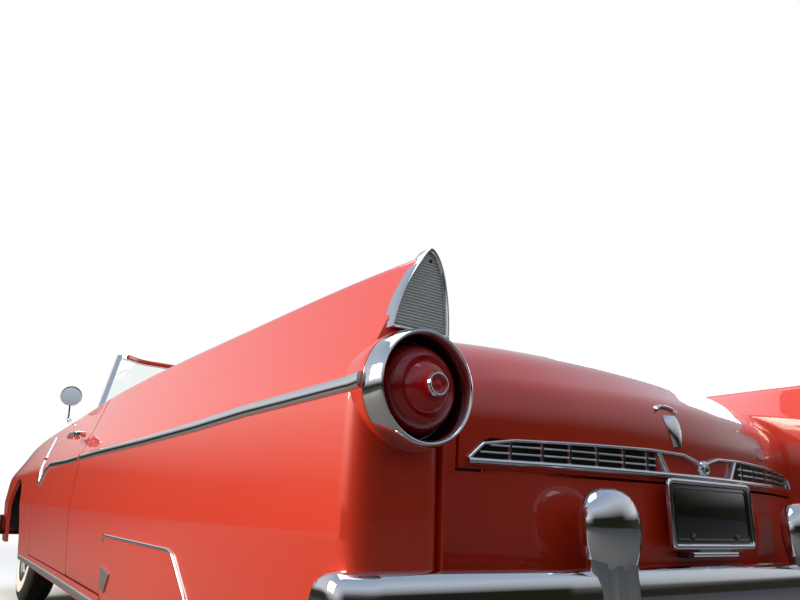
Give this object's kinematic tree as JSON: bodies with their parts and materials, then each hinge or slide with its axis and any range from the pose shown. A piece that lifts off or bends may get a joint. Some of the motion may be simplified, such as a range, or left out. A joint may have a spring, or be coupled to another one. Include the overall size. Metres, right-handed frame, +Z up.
{
  "type": "two-door convertible car",
  "caption": "Mid-1950s full-size open car with blunt finned rear fenders, round stepped tail lamps, a wraparound windshield and its top folded under a boot.",
  "frame": {"origin": "on the ground under the middle of the car's overall box", "axes": "+X towards the nose, +Y to the driver's left, +Z up"},
  "size_m": [5.0407, 1.9274, 1.4502],
  "materials": {
    "paint": "gloss red-orange",
    "chrome": "polished",
    "glass": "clear",
    "lamp_red": "clear red",
    "lamp_glass": "fluted",
    "carpet": "matt",
    "chassis_black": "satin black",
    "engine_iron": "rough",
    "bare_steel": "dull",
    "wheel_plastic": "gloss",
    "seat_vinyl": "satin",
    "boot_fabric": "matt",
    "wheel_paint": "gloss",
    "tyre": "matt"
  },
  "bodies": {
    "body": {"quarter_panel_left": "paint", "quarter_panel_right": "paint", "front_fender_left": "paint", "front_fender_right": "paint", "sills": "paint", "back_panels": "paint", "cowl": "paint", "fender_skirts": "paint", "front_panel": "paint", "floor_pan": "carpet", "trunk_floor": "chassis_black", "tail_lamp_bezels": "chrome", "rear_lamp_lenses": "lamp_red", "headlamps": "lamp_glass", "grille": "chrome", "rear_bumper": "chrome", "front_bumper": "chrome", "windshield_glass": "glass", "windshield_frame": "chrome", "dashboard_and_column": "paint", "front_seat": "seat_vinyl", "rear_seat": "seat_vinyl", "top_boot": "boot_fabric", "chassis_frame": "chassis_black", "engine_and_radiator": "engine_iron", "rear_axle_and_springs": "chassis_black", "exhaust_and_tank": "bare_steel", "front_suspension": "chassis_black"},
    "door_left": {"door_left": "paint", "mirror": "chrome"},
    "door_right": {"door_right": "paint"},
    "hood": {"hood": "paint"},
    "trunk_lid": {"trunk_lid": "paint"},
    "plate_flap": {"plate_flap": "chrome"},
    "steering_wheel": {"steering_wheel": "wheel_plastic"},
    "knuckle_left": {"knuckle_left": "chassis_black"},
    "knuckle_right": {"knuckle_right": "chassis_black"},
    "wheel_front_left": {"wheel_front_left": "wheel_paint", "tyre_front_left": "tyre"},
    "wheel_front_right": {"wheel_front_right": "wheel_paint", "tyre_front_right": "tyre"},
    "wheel_rear_left": {"wheel_rear_left": "wheel_paint", "tyre_rear_left": "tyre"},
    "wheel_rear_right": {"wheel_rear_right": "wheel_paint", "tyre_rear_right": "tyre"}
  },
  "joints": [
    {"name": "door_left_hinge", "type": "hinge", "parent": "body", "child": "door_left", "pos_m": [0.845, 0.936, 0.7], "axis": [0, 0, -1], "range_deg": [0, 65]},
    {"name": "door_right_hinge", "type": "hinge", "parent": "body", "child": "door_right", "pos_m": [0.845, -0.936, 0.7], "axis": [0, 0, 1], "range_deg": [0, 65]},
    {"name": "hood_hinge", "type": "hinge", "parent": "body", "child": "hood", "pos_m": [1.041, 0, 1.038], "axis": [0, -1, 0], "range_deg": [0, 50]},
    {"name": "trunk_lid_hinge", "type": "hinge", "parent": "body", "child": "trunk_lid", "pos_m": [-1.37, 0, 1.052], "axis": [0, 1, 0], "range_deg": [0, 60]},
    {"name": "plate_flap_hinge", "type": "hinge", "parent": "body", "child": "plate_flap", "pos_m": [-2.46, 0, 0.574], "axis": [0, -1, 0], "range_deg": [0, 75], "stiffness_Nm_per_rad": 1, "springref_deg": -28.65},
    {"name": "steer_left", "type": "hinge", "parent": "body", "child": "knuckle_left", "pos_m": [1.733, 0.606, 0.351], "axis": [0, 0, 1], "range_deg": [-30, 30]},
    {"name": "steer_right", "type": "hinge", "parent": "body", "child": "knuckle_right", "pos_m": [1.733, -0.606, 0.351], "axis": [0, 0, 1], "range_deg": [-30, 30]},
    {"name": "steering_wheel_turn", "type": "hinge", "parent": "body", "child": "steering_wheel", "pos_m": [0.12, 0.37, 0.96], "axis": [-0.9135, 0, 0.4067], "range_deg": [-540, 540]},
    {"name": "front_left_spin", "type": "hinge", "parent": "knuckle_left", "child": "wheel_front_left", "pos_m": [1.733, 0.7365, 0.351], "axis": [0, 1, 0], "continuous": true},
    {"name": "front_right_spin", "type": "hinge", "parent": "knuckle_right", "child": "wheel_front_right", "pos_m": [1.733, -0.7365, 0.351], "axis": [0, 1, 0], "continuous": true},
    {"name": "rear_left_spin", "type": "hinge", "parent": "body", "child": "wheel_rear_left", "pos_m": [-1.201, 0.711, 0.351], "axis": [0, 1, 0], "continuous": true},
    {"name": "rear_right_spin", "type": "hinge", "parent": "body", "child": "wheel_rear_right", "pos_m": [-1.201, -0.711, 0.351], "axis": [0, 1, 0], "continuous": true}
  ],
  "couplings": [
    {"joint": "steer_right", "follows": "steer_left", "ratio": 1},
    {"joint": "steering_wheel_turn", "follows": "steer_left", "ratio": 18}
  ]
}
